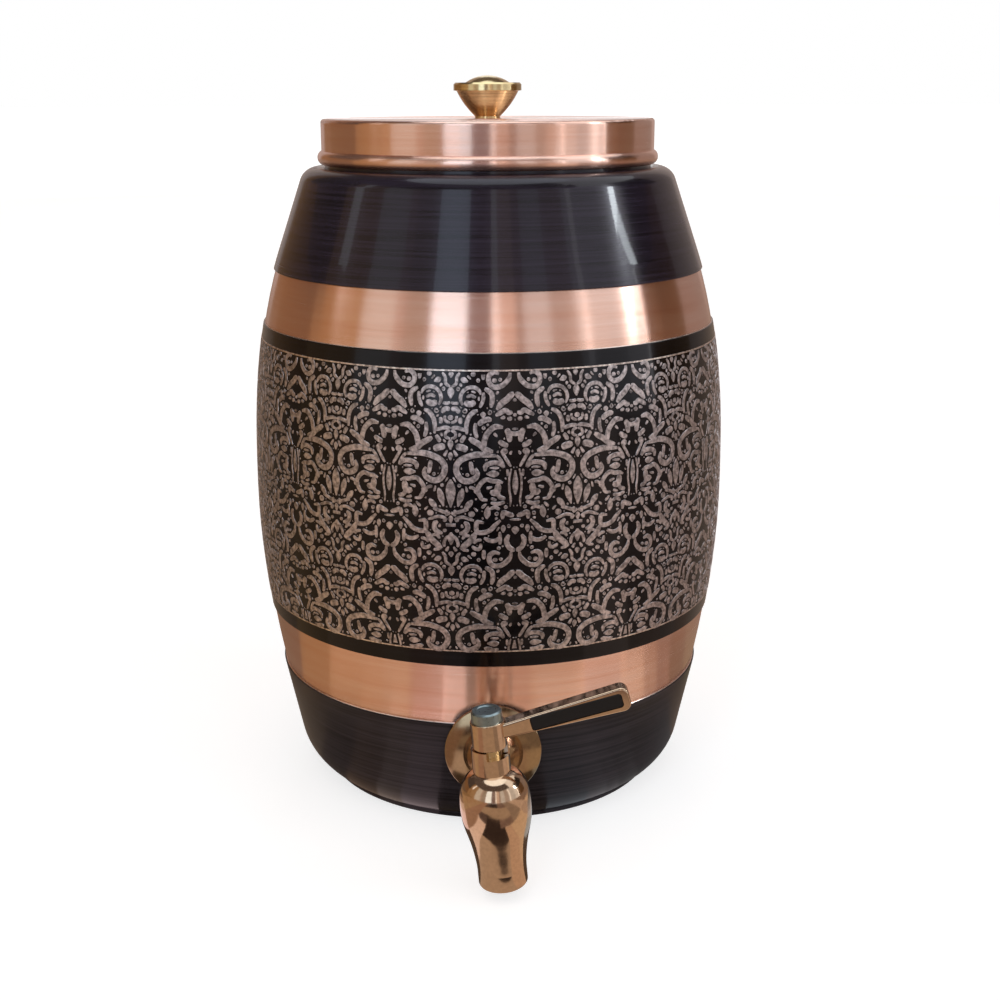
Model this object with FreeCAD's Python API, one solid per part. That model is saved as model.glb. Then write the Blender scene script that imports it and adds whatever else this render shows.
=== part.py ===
# Copper water dispenser: a spun barrel with a lift-off lid and a quarter-turn lever tap.
# Millimetres. The barrel's axis is Z, it stands on Z = 0, and the tap points along -Y.
import FreeCAD
import Part
import math
import os

V = FreeCAD.Vector
ORIGIN = V(0, 0, 0)
X = V(1, 0, 0)
Y = V(0, 1, 0)
Z = V(0, 0, 1)

# Sheet copper, fits, and how far a cutter runs past the face it cuts
wall = 0.9
seam_fit = 0.05
edge_break = 0.25
overrun = 1.0

# Barrel wall, outside of the copper drum. Its heights stack up from the base and its radii
# step in from the belly.
belly_radius = 101.4
belly_height = 128.0
lower_seam_height = 51.2
lower_seam_step = 8.6
lower_fullness = 1.8
lower_copper_band = 26.7
sleeve_height = 124.3
upper_copper_band = 22.1
upper_seam_step = 10.8
upper_fullness = 2.7

# Etched sheet wrapped round the belly
sleeve_sheet = 0.6
sleeve_seam_gap = 0.8

# Shoulder, lapped over the top of the drum
shoulder_lap = 7.7
shoulder_rise = 41.7
shoulder_edge_radius = 7.5
shoulder_edge_step = 29.4

# Neck that the lid slips over
neck_step = 3.4
neck_height = 18.2
neck_lip_radius = 1.3
neck_lip_drop = 1.2

# Base, lapped over the foot of the drum
base_lap = 7.5
base_corner_radius = 22.8
base_corner_step = 37.0
foot_spread = 10.0
foot_height = 6.0
foot_thickness = 2.6
floor_crown = 3.5
floor_sheet = 1.0
floor_flat_step = 1.0

# Lid
lid_gap = 0.4
lid_seat_gap = 0.3
lid_skirt_gap = 1.1
lid_sheet = 0.9
lid_corner = 1.4
lid_bead_height = 5.6
lid_bead_proud = 1.7

# Lid knob and its screw
knob_height = 17.4
knob_foot_radius = 5.3
knob_foot_height = 0.8
knob_flare_hollow = 0.6
knob_rim_radius = 14.2
knob_rim_step = 1.3
knob_rim_bottom = 11.0
knob_rim_top = 14.4
knob_rim_break = 0.7
knob_dome_radius = 9.3
knob_screw_radius = 2.4
knob_screw_depth = 9.0
knob_screw_head_radius = 4.8
knob_screw_head_height = 2.8
knob_screw_head_edge = 0.6
knob_screw_tip_gap = 1.0
knob_washer_radius = 8.0
knob_washer_thickness = 1.0

# Tap: how far its stem axis stands out from the wall, and how far off plumb it was screwed home
tap_reach = 41.8
tap_below_seam = 10.2
tap_roll_deg = 5.2

# Tap body: heights are from the shank's axis, and rises are from the spout's lower end
spout_drop = 35.9
spout_radius = 9.4
spout_edge = 1.6
spout_straight = 7.0
spout_flare = 0.5
spout_flare_rise = 12.5
swell_step = 2.3
swell_rise = 19.5
chamber_radius = 13.5
chamber_low = -8.5
chamber_low_step = 0.4
chamber_middle = -1.5
chamber_high = 5.5
chamber_high_step = 1.0
throat_step = 3.8
throat_drop = 1.5
body_neck_radius = 7.2
body_neck_bottom = 11.2
body_neck_top = 20.8
stop_notch_depth = 3.0
shank_radius = 7.9
shank_collar_radius = 10.4
shank_collar_length = 3.0
shank_waist_radius = 8.6
shank_waist_near = 5.0
shank_waist_far = 9.0
shank_inside_length = 21.0
waterway_radius = 4.5

# Wall flange, washers and nut on the shank
flange_radius = 19.4
flange_hub_radius = 12.0
flange_edge = 1.4
flange_crown = 0.8
flange_thickness = 3.4
gasket_radius = 17.5
gasket_thinnest = 0.8
inner_washer_radius = 14.0
inner_washer_thinnest = 1.2
plate_washer_radius = 13.0
plate_washer_thickness = 1.4
nut_across_flats = 24.0
nut_thickness = 6.5
nut_corner_drop = 2.2
nut_face_step = 0.4
shank_fit = 0.3

# Valve plug in the tap
plug_radius = 7.0
plug_bottom = -9.5
plug_top = 7.0
plug_bore_radius = 4.6
plug_bore_top = 4.0
plug_port_radius = 4.2
running_fit = 0.05
thrust_washer_thickness = 0.5
thrust_washer_step = 0.2
stem_radius = 4.0
stem_square = 5.6
stem_square_top = 26.2
ring_section_radius = 0.8
ring_heights = (11.6, 15.2)
port_seal_radius = 6.1
port_seal_depth = 2.6

# Lever, its grip and its fixings
hub_radius = 6.5
hub_lift = 0.15
hub_edge_round = 0.4
hub_top = 31.4
hub_web_top = 27.6
hub_counterbore_radius = 3.5
hub_headroom = 0.2
lever_height = 26.4
lever_rise_deg = 10.5
lever_length = 54.0
lever_root_half = 2.65
lever_tip_half = 4.7
lever_tip_radius = 3.2
lever_half_width = 3.3
lever_edge_round = 0.9
grip_start = 16.2
grip_end = 51.2
grip_half_height = 2.8
grip_corner = 1.3
grip_edge_round = 0.5
grip_inset = 0.15
grip_fit = 0.05
cap_radius = 5.8
cap_height = 4.2
cap_edge_break = 0.6
cap_headroom = 0.4
cap_dish_radius = 3.6
cap_dish_depth = 0.35
lever_screw_radius = 1.5
lever_screw_fit = 0.2
lever_screw_head_radius = 2.8
lever_screw_head_height = 1.9
lever_screw_head_round = 0.6
lever_screw_length = 8.0
lever_screw_tip_gap = 0.5
stop_pin_radius = 1.0
stop_pin_circle = 5.6
stop_pin_height = 5.0
stop_pin_floor_gap = 0.4
turn_deg = 90.0
stop_slack_deg = 1.5

# What follows from them
sleeve_bottom_height = lower_seam_height + lower_copper_band
sleeve_top_height = sleeve_bottom_height + sleeve_height
upper_seam_height = sleeve_top_height + upper_copper_band
drum_top_height = upper_seam_height + shoulder_lap
drum_foot_height = lower_seam_height - base_lap
tap_height = lower_seam_height - tap_below_seam
shoulder_top_height = upper_seam_height + shoulder_rise
lower_seam_radius = belly_radius - lower_seam_step
upper_seam_radius = belly_radius - upper_seam_step
shoulder_edge_centre = belly_radius - shoulder_edge_step
neck_radius = shoulder_edge_centre - neck_step
base_corner_centre = belly_radius - base_corner_step
foot_radius = base_corner_centre + foot_spread


def at(radius, height):
    """A point of a profile, in the plane that is turned round the Z axis."""
    return V(radius, 0, height)


def line(start, end):
    return Part.LineSegment(start, end).toShape()


def arc(start, middle, end):
    return Part.Arc(start, middle, end).toShape()


def smooth(points):
    curve = Part.BSplineCurve()
    curve.interpolate(points)
    return curve.toShape()


def turned(edges, axis=Z):
    """Solid of revolution of a closed profile."""
    face = Part.Face(Part.Wire(Part.__sortEdges__(edges)))
    return face.revolve(ORIGIN, axis, 360).Solids[0]


def turned_outline(points, axis=Z):
    """Solid of revolution of a straight-sided profile."""
    edges = [line(a, b) for a, b in zip(points, points[1:] + points[:1])]
    return turned(edges, axis)


def rod(radius, start, end, axis=Z):
    """A cylinder along an axis through the origin, from one station to another."""
    return Part.makeCylinder(radius, end - start, axis * start, axis)


def ring(outer, inner, start, end, axis=Z):
    return rod(outer, start, end, axis).cut(rod(inner, start - overrun, end + overrun, axis))


def barrel_radius(height):
    """Outside radius of the copper drum at a height."""
    if height > belly_height:
        share = (height - belly_height) / (upper_seam_height - belly_height)
        return belly_radius - (belly_radius - upper_seam_radius) * share ** upper_fullness
    share = (belly_height - height) / (belly_height - lower_seam_height)
    return belly_radius - (belly_radius - lower_seam_radius) * share ** lower_fullness


def barrel_line(bottom, top, offset, stations=7):
    """Edge that follows the drum's outside at an offset."""
    heights = [bottom + (top - bottom) * i / (stations - 1) for i in range(stations)]
    return smooth([at(barrel_radius(h) + offset, h) for h in heights])


def barrel_band(bottom, top, offset, thickness):
    """A sheet that follows the drum, with its outer corners broken."""
    outside = barrel_line(bottom + edge_break, top - edge_break, offset + thickness)
    inside = barrel_line(bottom, top, offset)
    low, high = (v.Point for v in outside.Vertexes)
    foot, head = (v.Point for v in inside.Vertexes)
    toe = at(low.x - edge_break, bottom)
    brow = at(high.x - edge_break, top)
    return turned([outside, inside, line(foot, toe), line(toe, low),
                   line(high, brow), line(brow, head)])


def dome(edge_radius, edge_height, crown):
    """Arc of a ball centred on the axis, from an edge to the crown above or below it."""
    ball = (edge_radius ** 2 + crown ** 2) / (2 * crown)
    centre = edge_height + crown - ball
    half = math.asin(edge_radius / ball) / 2
    middle = at(ball * math.sin(half), centre + ball * math.cos(half))
    return arc(at(edge_radius, edge_height), middle, at(0, edge_height + crown))


def tangent_angle(point, centre, radius):
    """Angle on a corner arc where a straight wall from a point meets it."""
    reach = point.sub(centre)
    return math.atan2(reach.z, reach.x), math.acos(radius / reach.Length)


def on_circle(centre, radius, angle):
    return at(centre.x + radius * math.cos(angle), centre.z + radius * math.sin(angle))


# Barrel pieces

def shank_hole():
    """Cutter for the tap's hole, from the tap's axis to the middle of the tank."""
    return place_tap(rod(shank_radius + shank_fit, 0, tap_axis_distance, Y))


def drum_shell():
    return barrel_band(drum_foot_height, drum_top_height, -wall, wall).cut(shank_hole())


def etched_sleeve():
    sheet = barrel_band(sleeve_bottom_height, sleeve_top_height, seam_fit, sleeve_sheet)
    seam = Part.makeBox(sleeve_seam_gap, 2 * belly_radius, 2 * sleeve_top_height)
    return sheet.cut(seam.translate(V(-sleeve_seam_gap / 2, 0, 0)))


def shoulder_line(inset, hem):
    """Lap over the drum, straight wall and rounded top edge, at an inset from outside."""
    lap_offset = seam_fit + wall - inset
    lap = barrel_line(hem, drum_top_height, lap_offset, 3)
    lap_top = at(barrel_radius(drum_top_height) + lap_offset, drum_top_height)
    centre = at(shoulder_edge_centre, shoulder_top_height - shoulder_edge_radius)
    radius = shoulder_edge_radius - inset
    base, spread = tangent_angle(lap_top, centre, radius)
    start = on_circle(centre, radius, base + spread)
    middle = on_circle(centre, radius, (base + spread + math.pi / 2) / 2)
    end = on_circle(centre, radius, math.pi / 2)
    hole = at(neck_radius + seam_fit, end.z)
    return [lap, line(lap_top, start), arc(start, middle, end), line(end, hole)]


def hem_lines(outside, inside, height):
    """Edge of a lapped sheet at a height, its outer corner broken."""
    corner = outside[0].Vertexes[0].Point
    broken = at(corner.x - edge_break, height)
    return [line(corner, broken), line(broken, inside[0].Vertexes[0].Point)]


def shoulder_shell():
    outside = shoulder_line(0, upper_seam_height + edge_break)
    inside = shoulder_line(wall, upper_seam_height)
    mouth = line(outside[-1].Vertexes[-1].Point, inside[-1].Vertexes[-1].Point)
    return turned(outside + inside + [mouth] + hem_lines(outside, inside, upper_seam_height))


def neck_ring():
    """Collar: a flange under the shoulder, a straight wall and a lip rolled inwards."""
    under = shoulder_top_height - wall - seam_fit
    top = shoulder_top_height + neck_height
    inner = neck_radius - wall
    tip = neck_radius - 2 * neck_lip_radius
    centre = top - neck_lip_radius
    flange = shoulder_edge_centre - seam_fit
    lip = arc(at(neck_radius, centre), at(neck_radius - neck_lip_radius, top), at(tip, centre))
    curl_end = at(inner, centre - neck_lip_drop)
    curl = arc(at(tip, centre), at((tip + inner) / 2, centre - neck_lip_drop * 2 / 3), curl_end)
    return turned([line(at(flange, under), at(neck_radius, under)),
                   line(at(neck_radius, under), at(neck_radius, centre)), lip, curl,
                   line(curl_end, at(inner, under - wall)),
                   line(at(inner, under - wall), at(flange, under - wall)),
                   line(at(flange, under - wall), at(flange, under))])


def base_line(inset, hem):
    """Lap over the drum, sloping wall and the rounded foot corner, at an inset from outside."""
    lap_offset = seam_fit + wall - inset
    lap = barrel_line(hem, drum_foot_height, lap_offset, 3)
    lap_foot = at(barrel_radius(drum_foot_height) + lap_offset, drum_foot_height)
    centre = at(base_corner_centre, base_corner_radius)
    radius = base_corner_radius - inset
    base, spread = tangent_angle(lap_foot, centre, radius)
    start = on_circle(centre, radius, base - spread)
    finish = -math.acos((foot_radius + seam_fit - base_corner_centre) / radius)
    end = on_circle(centre, radius, finish)
    middle = on_circle(centre, radius, (base - spread + finish) / 2)
    return [lap, line(lap_foot, start), arc(start, middle, end)]


def solid_inside(edges):
    """Everything between the axis and a profile line that runs from top to bottom."""
    top = edges[0].Vertexes[0].Point
    bottom = edges[-1].Vertexes[-1].Point
    return turned(edges + [line(at(0, top.z), top), line(bottom, at(0, bottom.z)),
                           line(at(0, bottom.z), at(0, top.z))])


def base_shell():
    outside = base_line(0, lower_seam_height - edge_break)
    inside = base_line(wall, lower_seam_height)
    foot = line(outside[-1].Vertexes[-1].Point, inside[-1].Vertexes[-1].Point)
    shell = turned(outside + inside + [foot] + hem_lines(outside, inside, lower_seam_height))
    return shell.cut(shank_hole())


def foot_ring():
    inner = foot_radius - foot_thickness
    return turned_outline([at(inner, 0), at(foot_radius - edge_break, 0),
                           at(foot_radius, edge_break), at(foot_radius, foot_height),
                           at(inner, foot_height)])


def tank_floor():
    """Crowned disc that stands on the foot ring and is soldered to the base all round."""
    bottom = foot_height + seam_fit
    corner = base_corner_radius - wall - 2 * seam_fit
    rim = base_corner_centre + math.sqrt(corner ** 2 - (base_corner_radius - bottom) ** 2)
    flat = foot_radius - foot_thickness - floor_flat_step
    return turned([dome(flat, bottom, floor_crown), dome(flat, bottom + floor_sheet, floor_crown),
                   line(at(0, bottom + floor_crown), at(0, bottom + floor_crown + floor_sheet)),
                   line(at(flat, bottom), at(rim, bottom)),
                   line(at(rim, bottom), at(rim, bottom + floor_sheet)),
                   line(at(rim, bottom + floor_sheet), at(flat, bottom + floor_sheet))])


# Lid pieces

lid_under = shoulder_top_height + neck_height + lid_seat_gap
lid_top = lid_under + lid_sheet
skirt_inside = neck_radius + lid_gap
skirt_outside = skirt_inside + lid_sheet
lid_bottom = shoulder_top_height + lid_skirt_gap


def lid_cap():
    """Spun cap: flat top, straight skirt, and a bead rolled out along the bottom."""
    bead_top = lid_bottom + lid_bead_height
    bead_middle = lid_bottom + lid_bead_height / 2
    bend = lid_corner * (1 - math.sqrt(0.5))
    corner = arc(at(skirt_outside - lid_corner, lid_top), at(skirt_outside - bend, lid_top - bend),
                 at(skirt_outside, lid_top - lid_corner))
    outer_bead = arc(at(skirt_outside, bead_top), at(skirt_outside + lid_bead_proud, bead_middle),
                     at(skirt_outside, lid_bottom))
    inner_bead = arc(at(skirt_inside, bead_top), at(skirt_inside + lid_bead_proud, bead_middle),
                     at(skirt_inside, lid_bottom))
    cap = turned([line(at(0, lid_top), at(skirt_outside - lid_corner, lid_top)), corner,
                  line(at(skirt_outside, lid_top - lid_corner), at(skirt_outside, bead_top)),
                  outer_bead, line(at(skirt_outside, lid_bottom), at(skirt_inside, lid_bottom)),
                  inner_bead, line(at(skirt_inside, bead_top), at(skirt_inside, lid_under)),
                  line(at(skirt_inside, lid_under), at(0, lid_under)),
                  line(at(0, lid_under), at(0, lid_top))])
    return cap.cut(rod(knob_screw_radius + shank_fit, lid_under - overrun, lid_top + overrun))


def lid_knob():
    """Turned knob: a flared stem, a square rim and a low dome."""
    def up(radius, height):
        return at(radius, lid_top + height)

    foot = up(knob_foot_radius, knob_foot_height)
    flare_end = up(knob_rim_radius - knob_rim_step, knob_rim_bottom)
    middle = foot.add(flare_end) * 0.5
    across = flare_end.sub(foot).cross(Y).normalize()
    flare = arc(foot, middle.sub(across * knob_flare_hollow), flare_end)
    rim_low = up(knob_rim_radius, knob_rim_bottom + edge_break)
    rim_high = up(knob_rim_radius, knob_rim_top - knob_rim_break)
    rim_inner = up(knob_rim_radius - knob_rim_break, knob_rim_top)
    knob = turned([line(up(0, 0), up(knob_foot_radius, 0)), line(up(knob_foot_radius, 0), foot),
                   flare, line(flare_end, rim_low), line(rim_low, rim_high),
                   line(rim_high, rim_inner), line(rim_inner, up(knob_dome_radius, knob_rim_top)),
                   dome(knob_dome_radius, lid_top + knob_rim_top, knob_height - knob_rim_top),
                   line(up(0, knob_height), up(0, 0))])
    return knob.cut(rod(knob_screw_radius, lid_top - overrun, lid_top + knob_screw_depth))


def knob_washer():
    return ring(knob_washer_radius, knob_screw_radius + shank_fit,
                lid_under - knob_washer_thickness, lid_under)


def knob_screw():
    seat = lid_under - knob_washer_thickness
    low = seat - knob_screw_head_height
    edge = seat - knob_screw_head_edge
    crown = dome(knob_screw_head_radius, edge, low - edge)
    tip = lid_top + knob_screw_depth - knob_screw_tip_gap
    thread = knob_screw_radius - seam_fit
    return turned([crown, line(at(knob_screw_head_radius, edge), at(knob_screw_head_radius, seat)),
                   line(at(knob_screw_head_radius, seat), at(thread, seat)),
                   line(at(thread, seat), at(thread, tip)), line(at(thread, tip), at(0, tip)),
                   line(at(0, tip), at(0, low))])


# Tap. Its own frame has the stem axis along Z and the shank along Y towards the barrel.

tap_axis_distance = barrel_radius(tap_height + gasket_radius) + tap_reach


def place_tap(shape):
    """From the tap's own frame to its place on the barrel."""
    placed = shape.copy()
    placed.rotate(ORIGIN, Y, -tap_roll_deg)
    placed.translate(V(0, -tap_axis_distance, tap_height))
    return placed


flange_back = tap_reach - gasket_thinnest
flange_front = flange_back - flange_thickness
inside_low = base_line(wall, lower_seam_height)[2].Vertexes[0].Point
inner_washer_edge = math.sqrt(inside_low.x ** 2 - inner_washer_radius ** 2)
washer_back = tap_axis_distance - inner_washer_edge + inner_washer_thinnest
nut_front = washer_back + plate_washer_thickness
shank_end = flange_back + shank_inside_length


def tap_body():
    """Casting: spout, valve chamber, neck with the stop notch, and the threaded shank."""
    low = -spout_drop
    straight = line(at(spout_radius, low + spout_edge), at(spout_radius, low + spout_straight))
    side = smooth([at(spout_radius, low + spout_straight),
                   at(spout_radius + spout_flare, low + spout_flare_rise),
                   at(chamber_radius - swell_step, low + swell_rise),
                   at(chamber_radius - chamber_low_step, chamber_low),
                   at(chamber_radius, chamber_middle),
                   at(chamber_radius - chamber_high_step, chamber_high),
                   at(chamber_radius - throat_step, body_neck_bottom - throat_drop),
                   at(body_neck_radius, body_neck_bottom)])
    bend = spout_edge * (1 - math.sqrt(0.5))
    lip = arc(at(spout_radius - spout_edge, low), at(spout_radius - bend, low + bend),
              at(spout_radius, low + spout_edge))
    bulb = turned([line(at(0, low), at(spout_radius - spout_edge, low)), lip, straight, side,
                   line(at(body_neck_radius, body_neck_bottom), at(body_neck_radius, body_neck_top)),
                   line(at(body_neck_radius, body_neck_top), at(0, body_neck_top)),
                   line(at(0, body_neck_top), at(0, low))])
    root = V(shank_collar_radius, chamber_radius - shank_collar_length, 0)
    collar = V(shank_collar_radius, flange_front - shank_collar_length, 0)
    waist = smooth([root, V(shank_waist_radius, chamber_radius + shank_waist_near, 0),
                    V(shank_waist_radius, flange_front - shank_waist_far, 0), collar])
    arm = turned([line(ORIGIN, V(shank_collar_radius, 0, 0)),
                  line(V(shank_collar_radius, 0, 0), root), waist,
                  line(collar, V(shank_collar_radius, flange_front, 0)),
                  line(V(shank_collar_radius, flange_front, 0), V(shank_radius, flange_front, 0)),
                  line(V(shank_radius, flange_front, 0), V(shank_radius, shank_end, 0)),
                  line(V(shank_radius, shank_end, 0), V(0, shank_end, 0)),
                  line(V(0, shank_end, 0), ORIGIN)], Y)
    body = bulb.fuse(arm).removeSplitter()
    roof = plug_top + thrust_washer_thickness
    body = body.cut(rod(plug_radius + running_fit, low - overrun, roof))
    body = body.cut(rod(stem_radius + running_fit, 0, body_neck_top + overrun))
    body = body.cut(rod(waterway_radius, 0, shank_end + overrun, Y))
    seat = plug_radius + port_seal_depth
    body = body.cut(rod(port_seal_radius + seam_fit, 0, seat, Y))
    return body.cut(stop_notch()).Solids[0]


def stop_notch():
    """Cut in the rim of the neck that the stop pin sweeps through."""
    pin_half = math.degrees(math.asin(stop_pin_radius / stop_pin_circle))
    sweep = turn_deg + 2 * (pin_half + stop_slack_deg)
    wedge = Part.makeCylinder(body_neck_radius + overrun, stop_notch_depth + overrun,
                              V(0, 0, body_neck_top - stop_notch_depth), Z, sweep)
    wedge.rotate(ORIGIN, Z, -turn_deg - pin_half - stop_slack_deg)
    return wedge


def tap_flange():
    """Domed escutcheon, flat at the back."""
    edge = V(flange_radius - edge_break, flange_back - flange_edge, 0)
    middle = V((flange_hub_radius + flange_radius) / 2, flange_front + flange_crown, 0)
    crown = smooth([V(flange_hub_radius, flange_front, 0), middle, edge])
    rim = V(flange_radius, flange_back - flange_edge + edge_break, 0)
    bore = shank_radius + seam_fit
    return turned([line(V(bore, flange_front, 0), V(flange_hub_radius, flange_front, 0)), crown,
                   line(edge, rim), line(rim, V(flange_radius, flange_back, 0)),
                   line(V(flange_radius, flange_back, 0), V(bore, flange_back, 0)),
                   line(V(bore, flange_back, 0), V(bore, flange_front, 0))], Y)


def wall_gasket():
    """Moulded wedge: flat towards the flange, hollowed behind to the drum and the base's lap."""
    drum_skin = solid_inside([barrel_line(drum_top_height, drum_foot_height, seam_fit)])
    base_skin = solid_inside(base_line(-seam_fit, lower_seam_height + seam_fit))
    block = ring(gasket_radius, shank_radius + seam_fit, flange_back,
                 tap_axis_distance - inside_low.x, Y)
    wedge = place_tap(block).cut(drum_skin).cut(base_skin)
    return max(wedge.Solids, key=lambda solid: solid.Volume)


def inner_washer():
    """The same kind of wedge inside the tank, under the nut."""
    seam = drum_foot_height - seam_fit
    drum_room = solid_inside([barrel_line(drum_top_height, seam, -wall - seam_fit)])
    base_room = solid_inside(base_line(wall + seam_fit, lower_seam_height))
    base_room = base_room.cut(rod(belly_radius, seam, lower_seam_height + overrun))
    block = ring(inner_washer_radius, shank_radius + seam_fit, flange_back, washer_back, Y)
    wedge = place_tap(block).common(drum_room.fuse(base_room))
    return max(wedge.Solids, key=lambda solid: solid.Volume)


def plate_washer():
    return ring(plate_washer_radius, shank_radius + seam_fit, washer_back, nut_front, Y)


def shank_nut():
    corner = nut_across_flats / math.sqrt(3)
    turns = [math.radians(60 * i) for i in range(7)]
    hexagon = Part.makePolygon([V(corner * math.cos(t), nut_front, corner * math.sin(t))
                                for t in turns])
    nut = Part.Face(hexagon).extrude(Y * nut_thickness)
    back = nut_front + nut_thickness
    rim = corner + overrun
    cone = turned_outline([V(0, nut_front - overrun, 0), V(rim, nut_front - overrun, 0),
                           V(rim, back - nut_corner_drop, 0),
                           V(nut_across_flats / 2 - nut_face_step, back, 0), V(0, back, 0)], Y)
    bore = rod(shank_radius + seam_fit, nut_front - overrun, back + overrun, Y)
    return nut.common(cone).cut(bore)


def port_seal():
    """Ring that presses on the plug, its face hollowed to the plug's curve."""
    seat = plug_radius + port_seal_depth - seam_fit
    block = ring(port_seal_radius, waterway_radius, 0, seat, Y)
    reach = port_seal_radius + overrun
    seal = block.cut(rod(plug_radius + running_fit, -reach, reach))
    return max(seal.Solids, key=lambda solid: solid.CenterOfMass.y)


def valve_plug():
    """Plug and stem in one: a bore down to the spout and a port that meets the waterway."""
    plug = rod(plug_radius, plug_bottom, plug_top)
    plug = plug.fuse(rod(stem_radius, 0, body_neck_top))
    square = Part.makeBox(stem_square, stem_square, stem_square_top - body_neck_top,
                          V(-stem_square / 2, -stem_square / 2, body_neck_top))
    plug = plug.fuse(square)
    plug = plug.cut(rod(plug_bore_radius, plug_bottom - overrun, plug_bore_top))
    plug = plug.cut(Part.makeCylinder(plug_port_radius, plug_radius + overrun, ORIGIN, X * -1))
    for height in ring_heights:
        half = ring_section_radius + running_fit
        groove_floor = stem_radius - 2 * ring_section_radius - running_fit
        plug = plug.cut(ring(stem_radius + overrun, groove_floor, height - half, height + half))
    screw_hole = rod(lever_screw_radius + seam_fit, stem_square_top - lever_screw_length,
                     stem_square_top + overrun)
    return plug.cut(screw_hole).removeSplitter()


def stem_rings():
    centre = stem_radius - ring_section_radius
    return Part.makeCompound([Part.makeTorus(centre, ring_section_radius, V(0, 0, height))
                              for height in ring_heights])


def thrust_washer():
    return ring(plug_radius - thrust_washer_step, stem_radius + running_fit, plug_top,
                plug_top + thrust_washer_thickness - running_fit)


def lever_place(shape):
    """Tilts a shape drawn along X to the lever's rise and lifts it to its height."""
    shape.rotate(ORIGIN, Y, -lever_rise_deg)
    shape.translate(V(0, 0, lever_height))
    return shape


def lever_arm():
    """Paddle that deepens towards a rounded tip, with a slot for the grip."""
    tip = lever_length - lever_tip_radius
    lower = lever_tip_half - lever_tip_radius
    bend = lever_tip_radius * math.sqrt(0.5)

    def corner(sign):
        return arc(V(tip, 0, sign * lever_tip_half), V(tip + bend, 0, sign * (lower + bend)),
                   V(lever_length, 0, sign * lower))

    outline = [line(V(0, 0, lever_root_half), V(tip, 0, lever_tip_half)), corner(1),
               line(V(lever_length, 0, lower), V(lever_length, 0, -lower)), corner(-1),
               line(V(tip, 0, -lever_tip_half), V(0, 0, -lever_root_half)),
               line(V(0, 0, -lever_root_half), V(0, 0, lever_root_half))]
    face = Part.Face(Part.Wire(Part.__sortEdges__(outline)))
    face.translate(V(0, -lever_half_width, 0))
    arm = face.extrude(Y * (2 * lever_half_width))
    flat = [e for e in arm.Edges if e.BoundBox.YLength < 1e-3]
    rims = [e for e in flat if e.BoundBox.XMax > lever_edge_round]
    return arm.makeFillet(lever_edge_round, rims)


def grip_block(clearance, half_width):
    """Bar with rounded corners that fills the lever's slot."""
    length = grip_end - grip_start - 2 * clearance
    height = 2 * (grip_half_height - clearance)
    block = Part.makeBox(length, 2 * half_width, height,
                         V(grip_start + clearance, -half_width, clearance - grip_half_height))
    across = [e for e in block.Edges if e.BoundBox.YLength > half_width]
    return block.makeFillet(grip_corner - clearance, across)


def lever():
    hub = rod(hub_radius, body_neck_top + hub_lift, hub_top)
    rims = [e for e in hub.Edges if isinstance(e.Curve, Part.Circle)]
    hub = hub.makeFillet(hub_edge_round, rims)
    arm = lever_arm().cut(grip_block(0, lever_half_width + overrun))
    body = hub.fuse(lever_place(arm))
    body = body.cut(rod(hub_counterbore_radius, hub_web_top, hub_top + overrun))
    body = body.cut(rod(lever_screw_radius + lever_screw_fit, stem_square_top - overrun, hub_top))
    side = stem_square + 2 * seam_fit
    socket = Part.makeBox(side, side, stem_square_top + hub_headroom - body_neck_top,
                          V(-side / 2, -side / 2, body_neck_top))
    return body.cut(socket).cut(stop_pin()).removeSplitter().Solids[0]


def lever_grip():
    block = grip_block(grip_fit, lever_half_width - grip_inset)
    flat = [e for e in block.Edges if e.BoundBox.YLength < 1e-3]
    ends = [e for e in flat if e.BoundBox.XLength > 2 * grip_corner]
    return lever_place(block.makeFillet(grip_edge_round, ends))


def hub_cap():
    """Button over the screw: a short spigot below, a shallow dish on top."""
    top = hub_top + cap_height
    dish = cap_dish_depth
    spigot = hub_counterbore_radius - seam_fit
    foot = hub_web_top + lever_screw_head_height + cap_headroom
    return turned_outline([at(0, foot), at(spigot, foot), at(spigot, hub_top),
                           at(cap_radius, hub_top), at(cap_radius, top - cap_edge_break),
                           at(cap_radius - cap_edge_break, top),
                           at(cap_dish_radius + dish, top), at(cap_dish_radius, top - dish),
                           at(0, top - dish)])


def lever_screw():
    head_top = hub_web_top + lever_screw_head_height
    head = rod(lever_screw_head_radius, hub_web_top, head_top)
    circles = [e for e in head.Edges if isinstance(e.Curve, Part.Circle)]
    rim = [e for e in circles if e.BoundBox.ZMin > hub_web_top]
    tip = stem_square_top - lever_screw_length + lever_screw_tip_gap
    return head.makeFillet(lever_screw_head_round, rim).fuse(rod(lever_screw_radius, tip, hub_web_top))


def stop_pin():
    """Pin pressed up into the hub; its lower end runs in the notch of the neck."""
    foot = body_neck_top - stop_notch_depth + stop_pin_floor_gap
    return Part.makeCylinder(stop_pin_radius, stop_pin_height, V(stop_pin_circle, 0, foot), Z)


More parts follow.
